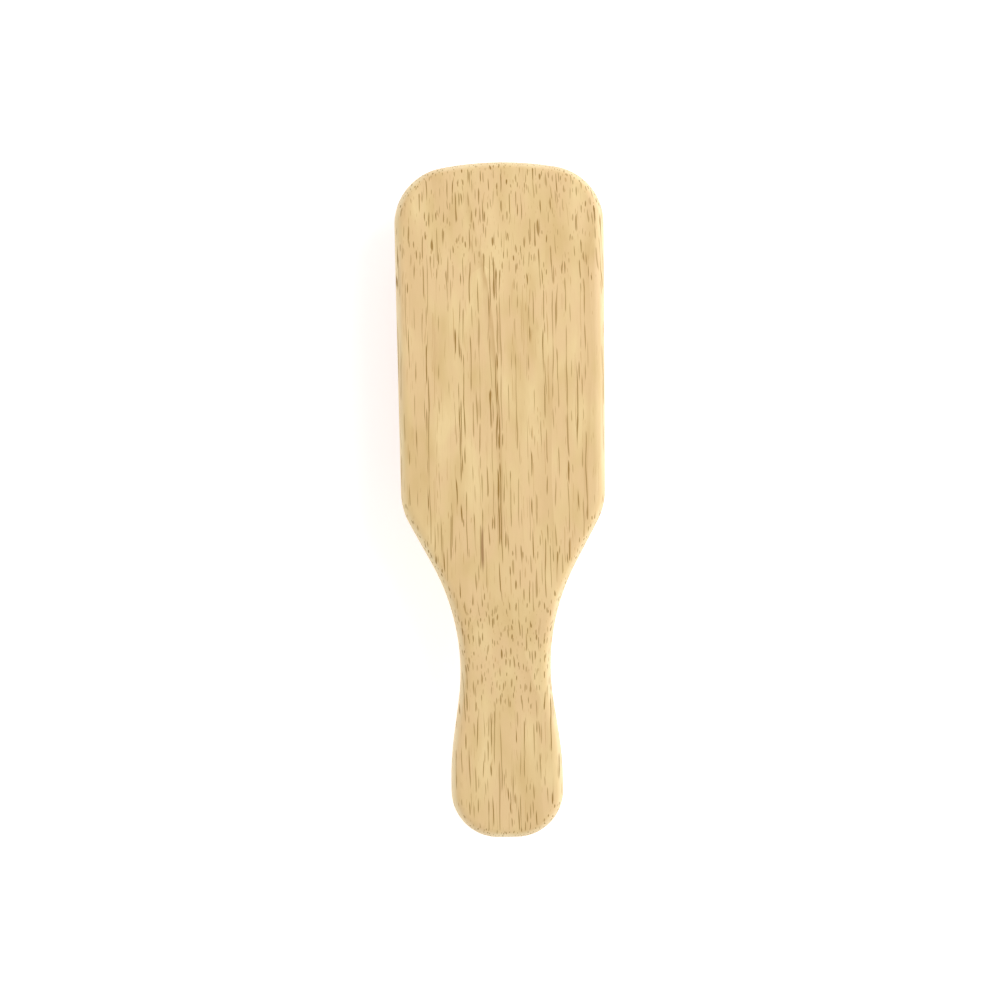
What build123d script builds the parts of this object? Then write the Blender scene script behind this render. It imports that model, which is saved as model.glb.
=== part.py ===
from build123d import *
import math
import os

# Wooden paddle brush: a one-piece wooden back and handle, an air cushion of moulded rubber held by
# its lip in a recess on the face, turned wooden pins that stand through the cushion in lines, and
# a card that lies over their feet inside it.
#
# Millimetres. +Y runs from the handle to the tip of the head, +Z is out of the back, and the pins
# point down -Z. The origin is under the middle of the brush, in the plane of the pin tips.

# Outline of the wood, as a chain of corners from the tip to the end of the handle
HEAD_LENGTH = 117.75  # tip to the shoulder corner
TAPER_LENGTH = 40.65  # shoulder corner to the waist corner
HANDLE_LENGTH = 71.6  # waist corner to the end
HEAD_WIDTH = 71.5  # across the top corners
HEAD_DRAFT = 1.2  # each side comes in by this much down to the shoulder
CROWN_ANGLE = 10.0  # the top edge falls away to each side
CROWN_RADIUS = 108.0
TOP_CORNER_RADIUS = 19.5
SHOULDER_RADIUS = 22.0
WAIST_CORNER_WIDTH = 25.2
WAIST_RADIUS = 75.0
HANDLE_WIDTH = 38.1
SWELL_FROM_END = 26.9  # corner where the handle reaches its full width
SWELL_RADIUS = 110.0
END_CORNER_RADIUS = 16.0

# Side profile of the wood
HEAD_THICKNESS = 15.0
TIP_FALL = 4.4  # how far the back falls at the tip
TIP_FALL_LENGTH = 43.0
TIP_FALL_RADIUS = 150.0
NECK_FROM_END = 81.0  # the back starts to fall here, and the face to dip
NECK_RADIUS = 45.0
HANDLE_FROM_END = 46.0  # the handle's back is flat from here on
HANDLE_DROP = 4.2  # and lies this far below the head's
HANDLE_RADIUS = 120.0
WAIST_FROM_END = 58.3  # the face's dip is deepest here
PALM_FROM_END = 33.0  # the handle's face is flat from here on
FACE_DIP = 1.2
FACE_DIP_RADIUS = 90.0
BACK_EDGE_RADIUS = 3.5
FACE_EDGE_RADIUS = 3.0
EDGE_SHARE = 0.92  # most of the thinnest wall that the two edge radii may take

# Recess in the face, and the groove that holds the cushion's lip
SIDE_RIM = 6.4
TOP_RIM = 7.0
RECESS_PAST_SHOULDER = 6.5
RECESS_CORNER_RADIUS = 13.5
RECESS_DEPTH = 7.0
MOUTH_RADIUS = 0.5
GROOVE_FROM_FACE = 1.3
GROOVE_HEIGHT = 2.0
GROOVE_BITE = 1.7  # how far it cuts outside the recess wall

# Rubber cushion
DOME_RISE = 6.0  # cushion top above the face
DOME_SHOULDER = 4.2
RUBBER = 1.8
CUSHION_FIT = 0.1  # between rubber and wood
VENT_DIAMETER = 2.2
VENT_TO_SHOULDER = 1.6

# Wooden pins
PIN_REACH = 17.0  # cushion top to the end of the tip
PIN_LINES = 13  # lines along the brush, the middle one on its axis
ROW_PITCH = 6.5
PIN_FAN = 4.0  # degrees that the outermost pins splay
SHANK_DIAMETER = 2.3  # where the rubber grips it
BASE_DIAMETER = 2.8
NECK_DIAMETER = 2.0
TIP_DIAMETER = 3.3
TIP_BLEND = 3.0  # hollow curve from the neck into the tip
FOOT_DIAMETER = 4.8
HOLE_FIT = 0.05  # round the shank, in radius
FOOT_GAP = 0.3  # foot to rubber, so that a splayed foot stays clear
BASE_GAP = 0.15

# Card over the feet
CARD = 0.8
CARD_FIT = 0.05
CARD_GAP = 1.4  # to the cushion's inner wall

# Helpers for cutting and finding
SPARE = 10.0  # how far a cutting shape runs past what it cuts
NEAR = 0.01

# Levels
Z_ROOT = PIN_REACH  # the cushion's outer surface
Z_PIVOT = Z_ROOT + RUBBER / 2  # a pin leans about the middle of the rubber
Z_FACE = Z_ROOT + DOME_RISE
Z_BACK = Z_FACE + HEAD_THICKNESS
Z_GROOVE = Z_FACE + GROOVE_FROM_FACE
Z_LIP_TOP = Z_GROOVE + GROOVE_HEIGHT - CUSHION_FIT
Z_CARD = Z_PIVOT + FOOT_DIAMETER / 2 + CARD_FIT

# Stations along the brush
LENGTH = HEAD_LENGTH + TAPER_LENGTH + HANDLE_LENGTH
Y_TIP = LENGTH / 2
Y_END = -LENGTH / 2
Y_SHOULDER = Y_TIP - HEAD_LENGTH
Y_WAIST = Y_END + HANDLE_LENGTH
Y_RECESS_TOP = Y_TIP - TOP_RIM
Y_RECESS_LOW = Y_SHOULDER - RECESS_PAST_SHOULDER
Y_FIELD = (Y_RECESS_TOP + Y_RECESS_LOW) / 2

# Half widths
X_HEAD = HEAD_WIDTH / 2
X_SHOULDER = X_HEAD - HEAD_DRAFT
PIN_MARGIN = CUSHION_FIT + DOME_SHOULDER + FOOT_DIAMETER / 2  # pin axis to the recess wall
X_LAST_LINE = X_SHOULDER - SIDE_RIM - PIN_MARGIN
LINE_PITCH = 2 * X_LAST_LINE / (PIN_LINES - 1)


def rounded_face(corners):
    """A closed face through corners (across, along, radius), in order round the shape.

    A radius is eased where the runs beside its corner are too short for it.
    """
    count = len(corners)
    points = [Vector(across, along) for across, along, radius in corners]
    back = [(points[i - 1] - points[i]).normalized() for i in range(count)]
    ahead = [(points[(i + 1) % count] - points[i]).normalized() for i in range(count)]
    half = [math.acos(back[i].dot(ahead[i])) / 2 for i in range(count)]
    reach = [corners[i][2] / math.tan(half[i]) for i in range(count)]
    ease = [1.0] * count
    for i in range(count):
        following = (i + 1) % count
        run = (points[following] - points[i]).length
        share = 0.98 * run / (reach[i] + reach[following])
        ease[i] = min(ease[i], share)
        ease[following] = min(ease[following], share)
    edges = []
    for i in range(count):
        tangent = reach[i] * ease[i]
        radius = tangent * math.tan(half[i])
        inward = (back[i] + ahead[i]).normalized()
        middle = points[i] + inward * (radius / math.sin(half[i]) - radius)
        start = points[i] + back[i] * tangent
        end = points[i] + ahead[i] * tangent
        edges.append(ThreePointArc(start, middle, end))
    lines = [Line(edges[i] @ 1, edges[(i + 1) % count] @ 0) for i in range(count)]
    return make_face(edges + lines)


def both_sides(half):
    """The corners of a symmetrical shape, from those on its axis and to the right of it."""
    return half + [(-across, along, radius) for across, along, radius in reversed(half) if across > 0]


def crown_corners(top, width, radius, corner_radius):
    """The two corners of a crowned top edge: on the axis, and at the right."""
    fall = math.radians(CROWN_ANGLE)
    apex = top + radius * (1 / math.cos(fall) - 1)
    return [(0, apex, radius), (width, apex - width * math.tan(fall), corner_radius)]


def prism(face, low, high):
    """A flat face, drawn at z = 0, as a solid between two levels."""
    return extrude(Pos(0, 0, low) * face, high - low, dir=(0, 0, 1))


def recess_face(grow):
    """The recess's outline, moved outwards by grow."""
    half = crown_corners(Y_RECESS_TOP, X_HEAD - SIDE_RIM, CROWN_RADIUS - TOP_RIM, RECESS_CORNER_RADIUS)
    half.append((X_SHOULDER - SIDE_RIM, Y_RECESS_LOW, RECESS_CORNER_RADIUS))
    face = rounded_face(both_sides(half))
    return face if grow == 0 else offset(face, grow)


def outline_face():
    half = crown_corners(Y_TIP, X_HEAD, CROWN_RADIUS, TOP_CORNER_RADIUS)
    half.append((X_SHOULDER, Y_SHOULDER, SHOULDER_RADIUS))
    half.append((WAIST_CORNER_WIDTH / 2, Y_WAIST, WAIST_RADIUS))
    half.append((HANDLE_WIDTH / 2, Y_END + SWELL_FROM_END, SWELL_RADIUS))
    half.append((HANDLE_WIDTH / 2, Y_END, END_CORNER_RADIUS))
    return rounded_face(both_sides(half))


def side_profile():
    """The wood seen from its side, longer than the outline at both ends."""
    fall_end = Z_BACK - TIP_FALL * (TIP_FALL_LENGTH + SPARE) / TIP_FALL_LENGTH
    handle = Z_BACK - HANDLE_DROP
    back = [
        (Y_TIP + SPARE, fall_end, SPARE / 10),
        (Y_TIP - TIP_FALL_LENGTH, Z_BACK, TIP_FALL_RADIUS),
        (Y_END + NECK_FROM_END, Z_BACK, NECK_RADIUS),
        (Y_END + HANDLE_FROM_END, handle, HANDLE_RADIUS),
        (Y_END - SPARE, handle, SPARE / 10),
    ]
    face = [
        (Y_END - SPARE, Z_FACE, SPARE / 10),
        (Y_END + PALM_FROM_END, Z_FACE, FACE_DIP_RADIUS),
        (Y_END + WAIST_FROM_END, Z_FACE + FACE_DIP, FACE_DIP_RADIUS),
        (Y_END + NECK_FROM_END, Z_FACE, FACE_DIP_RADIUS),
        (Y_TIP + SPARE, Z_FACE, SPARE / 10),
    ]
    return rounded_face(back + face)


def rim_edges(body):
    """The edges where the upright walls of the outline meet the back and the face."""
    walls = [face for face in body.faces() if abs(face.normal_at().Z) < NEAR]
    return [edge for face in walls for edge in face.edges().filter_by(Axis.Z, reverse=True)]


def wood_body():
    side = extrude(Plane.YZ * side_profile(), HEAD_WIDTH, both=True)
    body = prism(outline_face(), 0, Z_BACK + SPARE) & side
    thinnest = HEAD_THICKNESS - max(TIP_FALL, HANDLE_DROP + FACE_DIP)
    ease = min(1.0, EDGE_SHARE * thinnest / (BACK_EDGE_RADIUS + FACE_EDGE_RADIUS))
    middle = (Z_FACE + Z_BACK) / 2
    for above, radius in ((True, BACK_EDGE_RADIUS), (False, FACE_EDGE_RADIUS)):
        edges = [edge for edge in rim_edges(body) if (edge.center().Z > middle) == above]
        body = fillet(edges, radius * ease)
    body -= prism(recess_face(0), Z_FACE - SPARE, Z_FACE + RECESS_DEPTH)
    rim = recess_face(NEAR).faces()[0]
    level = [edge for edge in body.edges() if abs(edge.center().Z - Z_FACE) < NEAR]
    mouth = [edge for edge in level if is_over(rim, edge @ 0.5)]
    body = fillet(mouth, MOUTH_RADIUS)
    return body - prism(recess_face(GROOVE_BITE), Z_GROOVE, Z_GROOVE + GROOVE_HEIGHT)


def is_over(face, point):
    """Whether a point lies over or under a face drawn at z = 0."""
    return face.is_inside((point.X, point.Y, 0))


def dome(inset, bottom, radius):
    """A prism inside the recess's outline, with its lower edge rounded."""
    block = prism(recess_face(-inset), bottom, Z_LIP_TOP)
    return fillet(block.faces().sort_by(Axis.Z)[0].edges(), radius)


def rubber_cushion(pins):
    """A hollow dome, open at its back, with a lip that sits in the wood's groove."""
    inner = CUSHION_FIT + RUBBER
    cushion = dome(CUSHION_FIT, Z_ROOT, DOME_SHOULDER)
    cushion += prism(recess_face(GROOVE_BITE - CUSHION_FIT), Z_GROOVE + CUSHION_FIT, Z_LIP_TOP)
    cushion -= dome(inner, Z_ROOT + RUBBER, DOME_SHOULDER - RUBBER)
    hole = Cylinder(SHANK_DIAMETER / 2 + HOLE_FIT, 2 * RUBBER)
    holes = [pin_place(x, y) * hole for line in pins for x, y in line]
    vent_y = Y_RECESS_LOW + CUSHION_FIT + DOME_SHOULDER + VENT_TO_SHOULDER
    holes.append(Pos(0, vent_y, Z_PIVOT) * Cylinder(VENT_DIAMETER / 2, 2 * RUBBER))
    return cushion - holes


def backing_card():
    """A thin flat card over the pins' feet."""
    face = recess_face(-(CUSHION_FIT + RUBBER + CARD_GAP))
    return prism(face, Z_CARD, Z_CARD + CARD)


def pin_roots():
    """For each line, the (x, y) of its pins. Every second row takes every second line."""
    field = recess_face(NEAR - PIN_MARGIN).faces()[0]
    rows = int((Y_RECESS_TOP - Y_RECESS_LOW) / 2 / ROW_PITCH)
    lines = []
    for line in range(PIN_LINES):
        x = (line - (PIN_LINES - 1) / 2) * LINE_PITCH
        stations = [Y_FIELD + (row + 0.5) * ROW_PITCH for row in range(-rows, rows) if (row + line) % 2]
        lines.append([(x, y) for y in stations if is_over(field, Vector(x, y))])
    return lines


def splay(x, y):
    """How far a pin leans outwards, in degrees, across the brush and along it."""
    half_field = (Y_RECESS_TOP - Y_RECESS_LOW) / 2 - PIN_MARGIN
    return PIN_FAN * x / X_LAST_LINE, PIN_FAN * (y - Y_FIELD) / half_field


def pin_place(x, y):
    across, along = splay(x, y)
    return Pos(x, y, Z_PIVOT) * Rotation(along, -across, 0)


def pin(x, y):
    """One turned pin, with its foot inside the cushion and its tip in the plane z = 0."""
    across, along = [math.radians(angle) for angle in splay(x, y)]
    ball = TIP_DIAMETER / 2
    tip = -(Z_PIVOT - ball) / (math.cos(across) * math.cos(along))
    foot = FOOT_DIAMETER / 2
    foot_low = RUBBER / 2 + FOOT_GAP
    foot_rim = math.sqrt(foot**2 - foot_low**2)
    foot_turn = math.acos(foot_low / foot) / 2
    foot_middle = (foot * math.sin(foot_turn), foot * math.cos(foot_turn))
    shank = SHANK_DIAMETER / 2
    base = -(RUBBER / 2 + BASE_GAP)
    neck = NECK_DIAMETER / 2
    blend_across = neck + TIP_BLEND
    blend_rise = math.sqrt((ball + TIP_BLEND) ** 2 - blend_across**2)
    share = ball / (ball + TIP_BLEND)
    meet = (blend_across * share, tip + blend_rise * share)
    turn = math.atan2(blend_rise, blend_across) / 2
    blend_middle = (
        blend_across - TIP_BLEND * math.cos(turn),
        tip + blend_rise - TIP_BLEND * math.sin(turn),
    )
    outline = [
        Line((0, tip - ball), (0, foot)),
        ThreePointArc((0, foot), foot_middle, (foot_rim, foot_low)),
        Polyline((foot_rim, foot_low), (shank, foot_low), (shank, base), (BASE_DIAMETER / 2, base)),
        Line((BASE_DIAMETER / 2, base), (neck, tip + blend_rise)),
        ThreePointArc((neck, tip + blend_rise), blend_middle, meet),
        ThreePointArc(meet, (ball, tip), (0, tip - ball)),
    ]
    turned = revolve(Plane.XZ * make_face(outline), Axis.Z)
    return pin_place(x, y) * turned


def save(shape, name):
    shape.label = name
    export_step(shape, f"parts/{name}.step")


os.makedirs("parts", exist_ok=True)
roots = pin_roots()
save(wood_body(), "wood_body")
save(rubber_cushion(roots), "rubber_cushion")
save(backing_card(), "backing_card")
for number, line in enumerate(roots, start=1):
    save(Compound(children=[pin(x, y) for x, y in line]), f"pin_line_{number:02d}")
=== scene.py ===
import math

import bmesh
import bpy
from mathutils import Matrix, Vector


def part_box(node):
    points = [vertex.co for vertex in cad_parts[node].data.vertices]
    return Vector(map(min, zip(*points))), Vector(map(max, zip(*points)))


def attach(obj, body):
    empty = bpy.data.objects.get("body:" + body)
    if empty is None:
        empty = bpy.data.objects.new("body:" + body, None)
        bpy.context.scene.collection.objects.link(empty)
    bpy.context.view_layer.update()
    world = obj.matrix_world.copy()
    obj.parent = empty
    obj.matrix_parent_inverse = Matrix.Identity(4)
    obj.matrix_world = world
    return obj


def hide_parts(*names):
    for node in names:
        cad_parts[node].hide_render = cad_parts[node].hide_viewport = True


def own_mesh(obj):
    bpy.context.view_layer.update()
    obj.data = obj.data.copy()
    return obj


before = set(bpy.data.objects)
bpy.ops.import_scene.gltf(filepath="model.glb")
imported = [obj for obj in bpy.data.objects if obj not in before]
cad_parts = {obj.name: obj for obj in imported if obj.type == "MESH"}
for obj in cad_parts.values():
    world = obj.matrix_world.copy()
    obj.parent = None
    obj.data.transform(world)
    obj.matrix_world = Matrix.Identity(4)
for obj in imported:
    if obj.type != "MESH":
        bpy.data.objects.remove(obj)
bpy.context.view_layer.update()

# Lengths are in metres: +Y to the tip of the head, +Z out of the wooden back, pin tips on z = 0.
MM = 0.001

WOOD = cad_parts["wood_body"]
PIN_LINES = sorted(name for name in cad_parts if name.startswith("pin_line_"))

# Levels of the cushion and of the recess that holds it
wood_low, wood_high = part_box("wood_body")
rubber_low, rubber_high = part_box("rubber_cushion")
CUSHION_Z = rubber_low.z  # the flat of the cushion
FACE_Z = wood_low.z  # the wood's face
LIP_Z = rubber_high.z  # inner end of the cushion, in the groove of the recess
RUBBER = 1.8 * MM  # thickness of the cushion's wall


# ---------------------------------------------------------------- finishes

def grey(value):
    return (value, value, value, 1.0)


def srgb(red, green, blue):
    """A colour given as 0 to 255 screen values, as the linear colour that a shader takes."""
    linear = []
    for value in (red, green, blue):
        share = value / 255
        linear.append(share / 12.92 if share <= 0.04045 else ((share + 0.055) / 1.055) ** 2.4)
    return (*linear, 1.0)


class Finish:
    """A material's nodes. Each method adds one node and returns its result."""

    def __init__(self, name, **shader_values):
        self.material = bpy.data.materials.new(name)
        self.material.use_nodes = True
        self.tree = self.material.node_tree
        self.shader = self.tree.nodes["Principled BSDF"]
        for socket, value in shader_values.items():
            self.shader.inputs[socket.replace("_", " ")].default_value = value
        self.place = self.add("ShaderNodeTexCoord", "Object")

    def add(self, kind, output, inputs=(), **settings):
        node = self.tree.nodes.new(kind)
        for key, value in settings.items():
            setattr(node, key, value)
        for key, value in dict(inputs).items():
            self.feed(node.inputs[key], value)
        return node.outputs[output]

    def feed(self, socket, value):
        if isinstance(value, bpy.types.NodeSocket):
            self.tree.links.new(value, socket)
        else:
            socket.default_value = value

    def calc(self, operation, *values):
        return self.add("ShaderNodeMath", 0, enumerate(values), operation=operation)

    def vector(self, operation, *values):
        return self.add("ShaderNodeVectorMath", 0, enumerate(values), operation=operation)

    def split(self, vector):
        node = self.tree.nodes.new("ShaderNodeSeparateXYZ")
        self.feed(node.inputs[0], vector)
        return node.outputs

    def join(self, x, y, z):
        return self.add("ShaderNodeCombineXYZ", 0, {0: x, 1: y, 2: z})

    def stretched(self, size, place=None):
        """Coordinates counted in cells of the given size along x, y and z."""
        place = self.place if place is None else place
        return self.vector("MULTIPLY", place, tuple(1 / edge for edge in size))

    def noise(self, size, detail=2.0, rough=0.5, place=None, output="Fac"):
        vector = self.stretched(size, place)
        inputs = {"Vector": vector, "Scale": 1.0, "Detail": detail, "Roughness": rough}
        return self.add("ShaderNodeTexNoise", output, inputs)

    def drift(self, size, reach, detail=1.0):
        """A wandering offset, of up to about half of reach along x, y and z."""
        colour = self.noise(size, detail=detail, output="Color")
        return self.vector("MULTIPLY", self.vector("SUBTRACT", colour, (0.5, 0.5, 0.5)), reach)

    def span(self, value, low, high, to_low=0.0, to_high=1.0, smooth=False):
        """value carried from low..high to to_low..to_high, and held at the ends."""
        kind = "SMOOTHSTEP" if smooth else "LINEAR"
        inputs = {0: value, 1: low, 2: high, 3: to_low, 4: to_high}
        return self.add("ShaderNodeMapRange", 0, inputs, interpolation_type=kind)

    def mix(self, share, first, second):
        node = self.tree.nodes.new("ShaderNodeMix")
        node.data_type = "RGBA"
        for index, value in ((0, share), (6, first), (7, second)):
            self.feed(node.inputs[index], value)
        return node.outputs[2]

    def bump(self, height, distance, strength):
        inputs = {"Height": height, "Distance": distance, "Strength": strength}
        return self.add("ShaderNodeBump", 0, inputs)

    def set(self, **sockets):
        for socket, value in sockets.items():
            self.feed(self.shader.inputs[socket.replace("_", " ")], value)
        return self.material


def vessels(wood, place, pitch, thin, thick, shift):
    """Tubes that run along the grain: (how much of one is here, its own random number).

    Their radii run from thin to thick, and shift picks another part of the endless pattern.
    """
    x, y, z = wood.split(place)
    section = wood.join(wood.calc("ADD", x, shift), wood.calc("ADD", z, shift), 0.0)
    node = wood.tree.nodes.new("ShaderNodeTexVoronoi")
    node.voronoi_dimensions = "2D"
    node.inputs["Scale"].default_value = 1.0
    wood.feed(node.inputs["Vector"], wood.vector("MULTIPLY", section, (1 / pitch, 1 / pitch, 0.0)))
    own = wood.split(node.outputs["Color"])
    radius = wood.span(own[0], 0.0, 1.0, thin / pitch, thick / pitch)
    ratio = wood.calc("DIVIDE", node.outputs["Distance"], radius)
    return wood.span(ratio, 0.55, 1.0, 1.0, 0.0, smooth=True), own[1]


def growth_line(wood, place):
    """One darker growth line, which curves from left of the tip to the middle of the taper.

    Its right side is crisp and its left side fades out slowly.
    """
    x, y, z = wood.split(place)
    along = wood.span(y, -12 * MM, 106 * MM)
    middle = wood.calc("MULTIPLY_ADD", wood.calc("POWER", along, 3.0), -11.5 * MM, -0.3 * MM)
    side = wood.calc("SUBTRACT", x, middle)
    right = wood.span(side, 0.0, 0.6 * MM, 1.0, 0.0, smooth=True)
    left = wood.span(side, -2.4 * MM, 0.0, 0.0, 1.0, smooth=True)
    worn = wood.span(wood.noise((6 * MM, 15 * MM, 6 * MM)), 0.30, 0.60, 0.1, 1.0)
    share = wood.calc("MULTIPLY", wood.calc("MULTIPLY", right, left), worn)
    for end in (wood.span(y, -22 * MM, 0.0), wood.span(y, 96 * MM, 108 * MM, 1.0, 0.0)):
        share = wood.calc("MULTIPLY", share, end)
    return share


def mineral_streak(wood, place):
    """A short dark streak in the taper, left of the middle."""
    offset = wood.vector("SUBTRACT", place, (-6.975 * MM, -16 * MM, 0.0))
    offset = wood.vector("MULTIPLY", offset, (1 / (0.75 * MM), 1 / (10 * MM), 0.0))
    reach = wood.add("ShaderNodeVectorMath", "Value", {0: offset}, operation="LENGTH")
    return wood.span(reach, 0.45, 1.0, 1.0, 0.0, smooth=True)


def painted_edge_highlight(wood):
    """Painted highlight on the rounded edges, paler where the surface tilts from upright, in patches: 0
    on the flats, up to 0.65 on the edges.
    """
    upright = wood.calc("ABSOLUTE", wood.split(wood.add("ShaderNodeNewGeometry", "Normal"))[2])
    inner = wood.span(upright, 0.70, 0.96, 1.0, 0.0, smooth=True)
    outer = wood.span(upright, 0.05, 0.35, 0.25, 1.0)
    patchy = wood.span(wood.noise((9 * MM, 14 * MM, 9 * MM)), 0.35, 0.65, 0.30, 0.65)
    return wood.calc("MULTIPLY", wood.calc("MULTIPLY", inner, outer), patchy)


SHOULDERS_Y = -4 * MM
GRAIN_DIP = 0.045  # how steeply the grain runs into the wood below the shoulders


def rubberwood():
    """Pale straw-coloured hardwood, satin-oiled, with open vessels and faint growth rings."""
    wood = Finish("rubberwood_satin", Specular_IOR_Level=0.35, Coat_Weight=0.30, Coat_Roughness=0.28)
    # The grain wanders: neighbouring vessels rise and sink by themselves, and all swing together.
    own = wood.drift((2.0 * MM, 20 * MM, 2.0 * MM), (1.5 * MM, 0, 2.3 * MM))
    slow = wood.drift((60 * MM, 150 * MM, 60 * MM), (9 * MM, 0, 2 * MM), detail=0.0)
    # Below the shoulders it also dips, which makes the vessels' marks on the surface shorter.
    along = wood.split(wood.place)[1]
    below_shoulders = wood.calc("MINIMUM", wood.calc("SUBTRACT", along, SHOULDERS_Y), 0.0)
    dip = wood.join(0.0, 0.0, wood.calc("MULTIPLY", below_shoulders, GRAIN_DIP))
    sway = wood.vector("ADD", wood.vector("ADD", own, slow), dip)
    grain = wood.vector("ADD", wood.place, sway)
    coarse, coarse_own = vessels(wood, grain, 1.05 * MM, 0.16 * MM, 0.31 * MM, 0.0)
    fine, fine_own = vessels(wood, grain, 0.8 * MM, 0.06 * MM, 0.16 * MM, 0.4)

    # Growth rings about a pith that lies below the board
    swung = wood.vector("ADD", wood.place, slow)
    from_pith = wood.vector("ADD", swung, (6 * MM, 0.0, 12 * MM))
    from_pith = wood.vector("MULTIPLY", from_pith, (1.0, 0.0, 1.0))
    distance = wood.add("ShaderNodeVectorMath", "Value", {0: from_pith}, operation="LENGTH")
    waver = wood.noise((14 * MM, 70 * MM, 14 * MM))
    radius = wood.calc("MULTIPLY_ADD", waver, 5 * MM, distance)
    ring = wood.calc("FRACT", wood.calc("DIVIDE", radius, 6.5 * MM))
    late = wood.calc("MULTIPLY", wood.span(ring, 0.55, 0.97, smooth=True), wood.span(waver, 0.40, 0.62))

    # Colour: soft blotches, fine fibres, rings, then the vessels
    blotch = wood.noise((10 * MM, 34 * MM, 10 * MM), detail=2.0, place=swung)
    warmth = wood.noise((7 * MM, 16 * MM, 7 * MM), detail=1.0, place=grain)
    fibres = wood.noise((0.35 * MM, 8 * MM, 0.35 * MM), detail=2.0, rough=0.6, place=grain)
    straw, honey, rose = srgb(237, 209, 153), srgb(218, 186, 128), srgb(230, 196, 145)
    colour = wood.mix(wood.span(blotch, 0.36, 0.66), straw, honey)
    colour = wood.mix(wood.span(warmth, 0.40, 0.62, 0.0, 0.8), colour, rose)
    colour = wood.mix(wood.calc("MULTIPLY", late, 0.30), colour, srgb(204, 168, 112))
    colour = wood.mix(wood.span(fibres, 0.35, 0.72, 0.0, 0.13), colour, srgb(206, 172, 118))
    line = growth_line(wood, wood.vector("ADD", wood.place, own))
    colour = wood.mix(wood.calc("MULTIPLY", line, 0.55), colour, srgb(188, 150, 92))
    streak = mineral_streak(wood, grain)
    colour = wood.mix(wood.calc("MULTIPLY", streak, 0.75), colour, srgb(142, 98, 44))
    thread = wood.calc("MULTIPLY", fine, wood.span(fine_own, 0.0, 1.0, 0.10, 0.60))
    colour = wood.mix(thread, colour, srgb(178, 134, 66))
    # Painted highlight: the rounded edges turned paler, as if light catches them.
    colour = wood.mix(painted_edge_highlight(wood), colour, srgb(242, 222, 178))
    ink = wood.calc("MULTIPLY", coarse, wood.span(coarse_own, 0.0, 1.0, 0.42, 1.0))
    colour = wood.mix(ink, colour, srgb(148, 110, 34))

    pores = wood.calc("MULTIPLY_ADD", fine, 0.4, coarse)
    relief = wood.calc("SUBTRACT", wood.calc("MULTIPLY", fibres, 0.25), pores)
    rough = wood.calc("MULTIPLY_ADD", coarse, 0.2, wood.span(fibres, 0.3, 0.7, 0.46, 0.56))
    return wood.set(Base_Color=colour, Roughness=rough, Normal=wood.bump(relief, 0.04 * MM, 0.4))


def pin_wood():
    """Close-grained pale wood of the turned pins, grain along each pin, with turning marks."""
    wood = Finish("pin_wood_polished", Specular_IOR_Level=0.45, Coat_Weight=0.2, Coat_Roughness=0.22)
    fibres = wood.noise((0.22 * MM, 0.22 * MM, 7 * MM), detail=3.0, rough=0.6)
    each = wood.noise((3.4 * MM, 3.2 * MM, 60 * MM), detail=0.0)
    turning = wood.noise((6 * MM, 6 * MM, 0.12 * MM), detail=1.0)
    colour = wood.mix(wood.span(each, 0.3, 0.7), srgb(226, 190, 138), srgb(200, 156, 102))
    colour = wood.mix(wood.span(fibres, 0.45, 0.75, 0.0, 0.7), colour, srgb(156, 108, 62))
    colour = wood.mix(wood.span(turning, 0.45, 0.8, 0.0, 0.15), colour, srgb(140, 96, 54))
    rough = wood.span(fibres, 0.3, 0.7, 0.34, 0.46)
    relief = wood.calc("MULTIPLY_ADD", turning, 0.5, fibres)
    return wood.set(Base_Color=colour, Roughness=rough, Normal=wood.bump(relief, 0.03 * MM, 0.4))


def natural_rubber():
    """Terracotta natural rubber with a fine moulded grain and a little bloom."""
    rubber = Finish("natural_rubber", Specular_IOR_Level=0.35, Sheen_Weight=0.08, Sheen_Roughness=0.5)
    grain = rubber.noise((0.16 * MM, 0.16 * MM, 0.16 * MM), detail=2.0)
    pebble = rubber.noise((0.9 * MM, 0.9 * MM, 0.9 * MM), detail=2.0)
    bloom = rubber.noise((8 * MM, 11 * MM, 8 * MM), detail=4.0, rough=0.6)
    colour = rubber.mix(rubber.span(bloom, 0.35, 0.68), srgb(160, 78, 53), srgb(181, 100, 73))
    colour = rubber.mix(rubber.span(pebble, 0.4, 0.75, 0.0, 0.35), colour, srgb(146, 70, 48))
    colour = rubber.mix(rubber.span(grain, 0.4, 0.8, 0.0, 0.30), colour, srgb(128, 60, 42))
    relief = rubber.calc("MULTIPLY_ADD", pebble, 1.5, grain)
    rough = rubber.span(bloom, 0.3, 0.7, 0.48, 0.62)
    return rubber.set(Base_Color=colour, Roughness=rough, Normal=rubber.bump(relief, 0.05 * MM, 0.4))


def kraft_card():
    """Brown card with a fibrous surface."""
    card = Finish("kraft_card", Specular_IOR_Level=0.2)
    fibres = card.noise((0.5 * MM, 1.6 * MM, 0.5 * MM), detail=4.0, rough=0.7)
    flecks = card.noise((0.3 * MM, 0.9 * MM, 0.3 * MM), detail=1.0)
    colour = card.mix(card.span(fibres, 0.3, 0.75), srgb(186, 150, 106), srgb(150, 114, 76))
    colour = card.mix(card.span(flecks, 0.68, 0.75, 0.0, 0.6), colour, srgb(108, 80, 52))
    rough = card.span(fibres, 0.3, 0.7, 0.78, 0.92)
    return card.set(Base_Color=colour, Roughness=rough, Normal=card.bump(fibres, 0.05 * MM, 0.5))


def give(piece, material):
    piece.data.materials.clear()
    piece.data.materials.append(material)


# ---------------------------------------------------------------- modelling helpers

def only(piece):
    """Makes piece the one selected and active object."""
    bpy.ops.object.select_all(action="DESELECT")
    piece.select_set(True)
    bpy.context.view_layer.objects.active = piece


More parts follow.
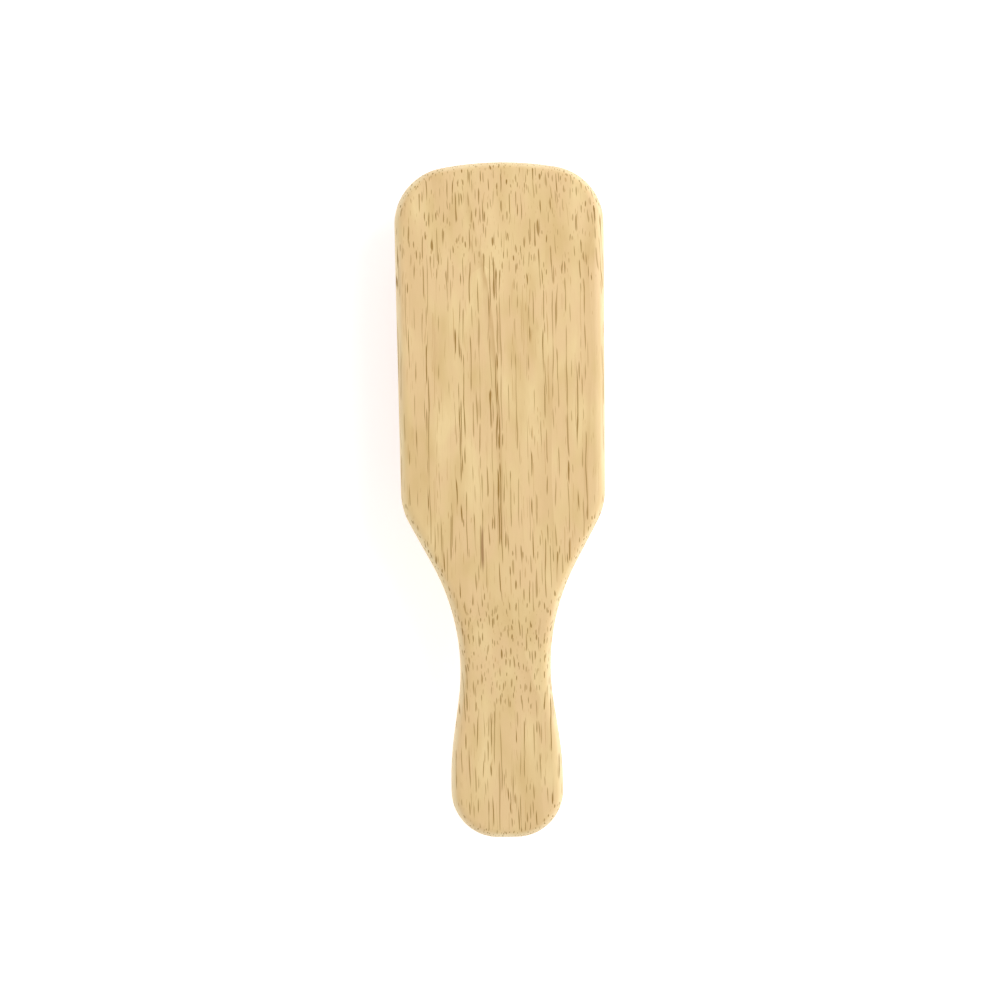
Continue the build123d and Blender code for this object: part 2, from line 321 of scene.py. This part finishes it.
def edit(piece):
    """Enters edit mode with nothing selected, and returns the mesh being edited."""
    only(piece)
    bpy.ops.object.mode_set(mode="EDIT")
    bpy.ops.mesh.select_mode(type="FACE")
    bpy.ops.mesh.select_all(action="DESELECT")
    return bmesh.from_edit_mesh(piece.data)


def end_edit():
    bpy.ops.object.mode_set(mode="OBJECT")


def pick_faces(piece, wanted):
    """Selects, in edit mode, the faces that wanted(normal, centre) accepts."""
    mesh = bmesh.from_edit_mesh(piece.data)
    for face in mesh.faces:
        face.select_set(wanted(face.normal, face.calc_center_median()))
    mesh.select_flush_mode()
    bmesh.update_edit_mesh(piece.data)


def step_in(width, drop):
    """Insets the selected flat face by width and moves the new one by drop along z."""
    bpy.ops.mesh.inset(thickness=width, depth=0.0, use_even_offset=True)
    bpy.ops.transform.translate(value=(0, 0, drop))


def wall(drop):
    """Extrudes the selected flat face by drop along z."""
    bpy.ops.mesh.extrude_region_move(TRANSFORM_OT_translate={"value": (0, 0, drop)})


def round_in(radius, sign, steps):
    """Rounds from an upright wall to a flat with a quarter circle. sign is its direction along z."""
    for step in range(steps):
        first, last = (math.pi / 2 * turn / steps for turn in (step, step + 1))
        width = radius * (math.cos(first) - math.cos(last))
        step_in(width, sign * radius * (math.sin(last) - math.sin(first)))


def finish_modifier(piece, kind, **settings):
    """Adds a modifier with those settings, and applies it."""
    only(piece)
    modifier = piece.modifiers.new(kind.lower(), kind)
    for key, value in settings.items():
        setattr(modifier, key, value)
    bpy.ops.object.modifier_apply(modifier=modifier.name)


# ---------------------------------------------------------------- pins

PIN_APART = 2 * MM  # a wider gap than this along y parts two pins of a line
FEET_ABOVE = CUSHION_Z + 2.2 * MM
TIPS_BELOW = 2.5 * MM


def pin_axes(line):
    """For each pin of a line, (middle of its foot, middle of its tip)."""
    corners = [vertex.co.copy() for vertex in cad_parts[line].data.vertices]
    corners.sort(key=lambda corner: corner.y)
    groups = [[corners[0]]]
    for before, corner in zip(corners, corners[1:]):
        if corner.y - before.y > PIN_APART:
            groups.append([])
        groups[-1].append(corner)
    return [(middle_of(group, FEET_ABOVE, 1), middle_of(group, TIPS_BELOW, -1)) for group in groups]


def middle_of(corners, level, side):
    """The middle of the box of those corners that are above the level (side 1) or below it (-1)."""
    beyond = [corner for corner in corners if (corner.z - level) * side > 0]
    low = Vector([min(corner[axis] for corner in beyond) for axis in range(3)])
    high = Vector([max(corner[axis] for corner in beyond) for axis in range(3)])
    return (low + high) / 2


def point_at(foot, tip, z):
    """The place on a pin's axis at height z."""
    return foot.lerp(tip, (foot.z - z) / (foot.z - tip.z))


AXES = {line: pin_axes(line) for line in PIN_LINES}
ROOTS = [point_at(foot, tip, CUSHION_Z) for line in PIN_LINES for foot, tip in AXES[line]]


# ---------------------------------------------------------------- cushion

CROWN = 0.75 * MM  # the cushion's middle stands this far beyond its edges
PUCKER = 0.40 * MM  # how far the rubber is drawn out along each pin
PUCKER_REACH = 1.7 * MM
PUCKER_FALL = 1.6  # how fast a pucker dies away towards its reach
SLACK = 0.12 * MM  # unevenness of the stretched rubber
SLACK_ACROSS, SLACK_ALONG, SLACK_SKEW = 170, 125, 60  # its waves, in radians for each metre
SHOULDER = 4.2 * MM
LIP_BITE = 1.6 * MM  # how far the lip goes into the wood
LIP_HEIGHT = 1.8 * MM
FIT = 0.1 * MM  # between rubber and wood
VENT = 1.1 * MM  # radius of the air hole
VENT_TO_SHOULDER = 1.6 * MM
VOXEL = 0.5 * MM


def cushion_outline():
    """A flat face as large as the groove in the wood, taken from the recess's own wall."""
    outline = bpy.data.objects.new("cushion_skin", WOOD.data.copy())
    bpy.context.scene.collection.objects.link(outline)
    edit(outline)
    bpy.ops.mesh.select_all(action="SELECT")
    bpy.ops.mesh.remove_doubles(threshold=0.01 * MM)
    groove_top = LIP_Z + FIT
    pick_faces(
        outline,
        lambda normal, centre: normal.z < -0.99 and abs(centre.z - groove_top) < 0.05 * MM)
    bpy.ops.mesh.select_all(action="INVERT")
    bpy.ops.mesh.delete(type="FACE")
    mesh = bmesh.from_edit_mesh(outline.data)
    bmesh.ops.delete(mesh, geom=[v for v in mesh.verts if not v.link_faces], context="VERTS")
    open_edges = [edge for edge in mesh.edges if len(edge.link_faces) == 1]
    loops = [[edge for edge in open_edges if edge.verts[0] in ring] for ring in rings(open_edges)]
    widest = max(loops, key=lambda loop: max(edge.verts[0].co.x for edge in loop))
    keep = {vertex for edge in widest for vertex in edge.verts}
    bmesh.ops.delete(mesh, geom=[v for v in mesh.verts if v not in keep], context="VERTS")
    bmesh.ops.delete(mesh, geom=list(mesh.faces), context="FACES_ONLY")
    face = bmesh.ops.contextual_create(mesh, geom=list(mesh.edges))["faces"][0]
    if face.normal.z > 0:
        face.normal_flip()
    face.select_set(True)
    bmesh.update_edit_mesh(outline.data)
    return outline


def rings(edges):
    """The vertices of each closed ring among edges."""
    left, found = set(edges), []
    while left:
        ring, waiting = set(), [next(iter(left)).verts[0]]
        while waiting:
            vertex = waiting.pop()
            ring.add(vertex)
            for edge in [edge for edge in vertex.link_edges if edge in left]:
                left.discard(edge)
                waiting.append(edge.other_vert(vertex))
        found.append(ring)
    return found


def hollow_dome():
    """The rubber's shell: lip, wall, rounded shoulder and flat, then the same inside."""
    skin = cushion_outline()
    step_in(FIT, -FIT)  # clear of the groove, to the side and above
    wall(-LIP_HEIGHT)
    step_in(LIP_BITE, 0)
    wall(CUSHION_Z + SHOULDER - (LIP_Z - LIP_HEIGHT))
    round_in(SHOULDER, -1, 8)
    bpy.ops.mesh.select_all(action="DESELECT")
    # The back of the lip is open so far: it gets its own face, which then goes in as the hollow.
    mesh = bmesh.from_edit_mesh(skin.data)
    rim = [edge for edge in mesh.edges if edge.is_boundary]
    back = bmesh.ops.contextual_create(mesh, geom=rim)["faces"][0]
    if back.normal.z < 0:
        back.normal_flip()
    back.select_set(True)
    bmesh.update_edit_mesh(skin.data)
    step_in(LIP_BITE + RUBBER, 0)
    wall(CUSHION_Z + SHOULDER - LIP_Z)
    round_in(SHOULDER - RUBBER, -1, 5)
    end_edit()
    return skin


def cut_vent(skin):
    """The air hole, on the axis of the brush near the handle's end of the cushion."""
    place = (0, rubber_low.y + LIP_BITE + SHOULDER + VENT_TO_SHOULDER, CUSHION_Z + RUBBER / 2)
    bpy.ops.object.select_all(action="DESELECT")
    bpy.ops.mesh.primitive_cylinder_add(vertices=24, radius=VENT, depth=4 * RUBBER, location=place)
    drill = bpy.context.object
    finish_modifier(skin, "BOOLEAN", operation="DIFFERENCE", object=drill, solver="EXACT")
    bpy.data.objects.remove(drill)


def bulge_at(place):
    """How much of the crown there is here: 1 in the middle of the cushion, 0 at its edges."""
    middle = (rubber_low + rubber_high) / 2
    half = (rubber_high - rubber_low) / 2
    across = max(0.0, 1 - ((place.x - middle.x) / half.x) ** 2)
    return across * max(0.0, 1 - ((place.y - middle.y) / half.y) ** 4)


def stretch_over_pins(skin):
    """Gives the flat its crown, a soft unevenness, and a pucker round each pin."""
    cells = {}  # the pins near each cell of a square grid, so that a vertex looks only at those
    cell = 2 * PUCKER_REACH
    for root in ROOTS:
        for shift_x in (-1, 0, 1):
            for shift_y in (-1, 0, 1):
                key = (round(root.x / cell) + shift_x, round(root.y / cell) + shift_y)
                cells.setdefault(key, []).append(root)
    for vertex in skin.data.vertices:
        place = vertex.co
        if place.z > FACE_Z:
            continue
        share = min(1.0, (FACE_Z - place.z) / (FACE_Z - CUSHION_Z)) ** 2
        sway = math.sin(place.x * SLACK_ACROSS)
        sway *= math.sin(place.y * SLACK_ALONG + place.x * SLACK_SKEW)
        drop = (CROWN + SLACK * sway) * bulge_at(place)
        for root in cells.get((round(place.x / cell), round(place.y / cell)), ()):
            gap = math.hypot(place.x - root.x, place.y - root.y) / PUCKER_REACH
            drop += PUCKER * math.exp(-gap * gap * PUCKER_FALL)
        vertex.co.z -= drop * share


def cushion_skin():
    """The finished cushion, which shows in place of the plain one."""
    skin = hollow_dome()
    cut_vent(skin)
    finish_modifier(skin, "REMESH", mode="VOXEL", voxel_size=VOXEL)
    finish_modifier(skin, "SMOOTH", factor=0.5, iterations=4)
    stretch_over_pins(skin)
    only(skin)
    bpy.ops.object.shade_smooth()
    give(skin, natural_rubber())
    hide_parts("rubber_cushion")
    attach(skin, "back_and_cushion")
    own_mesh(skin)
    return skin


# ---------------------------------------------------------------- collars

COLLAR_PROFILE = (  # radius, and height above the flat of the cushion
    (2.30 * MM, -0.50 * MM),
    (2.20 * MM, 0.10 * MM),
    (1.95 * MM, 0.55 * MM),
    (1.62 * MM, 0.72 * MM),
    (1.20 * MM, 0.62 * MM),
)


def collar():
    """One moulded collar, about the z axis, growing towards -z from its root at the origin."""
    bpy.ops.object.select_all(action="DESELECT")
    radius, height = COLLAR_PROFILE[0]
    bpy.ops.mesh.primitive_circle_add(
        vertices=12, radius=radius, fill_type="NGON", location=(0, 0, -height))
    ring = bpy.context.object
    edit(ring)
    bpy.ops.mesh.select_all(action="SELECT")
    for (before, low), (after, high) in zip(COLLAR_PROFILE, COLLAR_PROFILE[1:]):
        wall(low - high)
        share = after / before
        bpy.ops.transform.resize(value=(share, share, 1), center_override=(0, 0, 0))
    bpy.ops.mesh.select_all(action="SELECT")
    bpy.ops.mesh.normals_make_consistent(inside=False)
    end_edit()
    bpy.ops.object.shade_smooth()
    return ring


def line_collars(line, pattern, material):
    """The collars round one line's pins, as one piece that leans with them."""
    copies = []
    for foot, tip in AXES[line]:
        copy = bpy.data.objects.new("collar", pattern.data.copy())
        bpy.context.scene.collection.objects.link(copy)
        crown = CROWN * bulge_at(point_at(foot, tip, CUSHION_Z))
        root = point_at(foot, tip, CUSHION_Z - crown)
        lean = (foot - tip).to_track_quat("Z", "Y").to_matrix().to_4x4()
        copy.data.transform(Matrix.Translation(root) @ lean)
        copies.append(copy)
    bpy.ops.object.select_all(action="DESELECT")
    for copy in copies:
        copy.select_set(True)
    bpy.context.view_layer.objects.active = copies[0]
    bpy.ops.object.join()
    piece = bpy.context.object
    piece.name = line.replace("pin_line", "collars")
    give(piece, material)
    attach(piece, line)


# ---------------------------------------------------------------- pieces

give(WOOD, rubberwood())
give(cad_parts["backing_card"], kraft_card())
turned = pin_wood()
for line in PIN_LINES:
    give(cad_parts[line], turned)
skin = cushion_skin()
pattern = collar()
for line in PIN_LINES:
    line_collars(line, pattern, skin.data.materials[0])
bpy.data.objects.remove(pattern)


# ---------------------------------------------------------------- stage, light and camera

FLOOR_Z = -0.05 * MM
STAGE_RADIUS = 3.0
BACKDROP_HEIGHT = 1.58


def stage_paint(name, shade, glow):
    """Matt near-white paint that also glows, so that it stays pale in the brush's shadow."""
    paint = Finish(
        name, Roughness=0.9, Specular_IOR_Level=0.1, Emission_Color=grey(1), Emission_Strength=glow)
    mottle = paint.noise((0.3, 0.3, 0.3))
    return paint.set(Base_Color=paint.mix(mottle, grey(shade), grey(shade + 0.02)))


def pale_floor():
    bpy.ops.object.select_all(action="DESELECT")
    bpy.ops.mesh.primitive_plane_add(size=2 * STAGE_RADIUS + 0.4, location=(0, 0, FLOOR_Z))
    floor = bpy.context.object
    floor.name = "floor"
    give(floor, stage_paint("floor_paint", 0.86, 0.50))
    return floor


def backdrop():
    """A low round wall, open at the top and so far off that it only closes the horizon."""
    bpy.ops.object.select_all(action="DESELECT")
    bpy.ops.mesh.primitive_cylinder_add(
        vertices=64, radius=STAGE_RADIUS, depth=BACKDROP_HEIGHT + 0.02, end_fill_type="NOTHING",
        location=(0, 0, BACKDROP_HEIGHT / 2))
    ring = bpy.context.object
    ring.name = "backdrop"
    edit(ring)
    bpy.ops.mesh.select_all(action="SELECT")
    bpy.ops.mesh.flip_normals()
    end_edit()
    bpy.ops.object.shade_smooth()
    give(ring, stage_paint("backdrop_paint", 0.30, 0.80))
    return ring


def soft_box(name, place, width, power):
    """A round soft lamp that faces the brush."""
    lamp = bpy.data.lights.new(name, "AREA")
    lamp.shape = "DISK"
    lamp.size = width
    lamp.energy = power
    holder = bpy.data.objects.new(name, lamp)
    holder.location = place
    holder.rotation_euler = (-Vector(place)).to_track_quat("-Z", "Y").to_euler()
    bpy.context.scene.collection.objects.link(holder)


def studio_light():
    world = bpy.data.worlds.new("studio")
    world.use_nodes = True
    sky = world.node_tree.nodes["Background"]
    sky.inputs["Color"].default_value = grey(1)
    sky.inputs["Strength"].default_value = 0.47
    bpy.context.scene.world = world
    soft_box("key_right", (0.60, 0.25, 0.75), 0.8, 5.75)
    soft_box("fill_left", (-1.1, -0.3, 1.1), 1.4, 1.6)


SEEN_WIDTH = 0.33934  # across the picture, at the height of the wood's outline
OUTLINE_Z = wood_high.z - 4 * MM
CAMERA_OVER = (-1.05 * MM, -0.10 * MM)
CAMERA_TURN = -0.85  # in degrees, which shows the brush turned a little anticlockwise


def camera():
    """Looks straight down on the back."""
    lens = bpy.data.cameras.new("camera")
    lens.lens = 85
    lens.sensor_width = 36
    holder = bpy.data.objects.new("camera", lens)
    holder.location = (*CAMERA_OVER, OUTLINE_Z + SEEN_WIDTH * lens.lens / lens.sensor_width)
    holder.rotation_euler = (0, 0, math.radians(CAMERA_TURN))
    bpy.context.scene.collection.objects.link(holder)
    bpy.context.scene.camera = holder


bpy.context.scene.view_settings.view_transform = "Standard"
floor, ring = pale_floor(), backdrop()
studio_light()
camera()
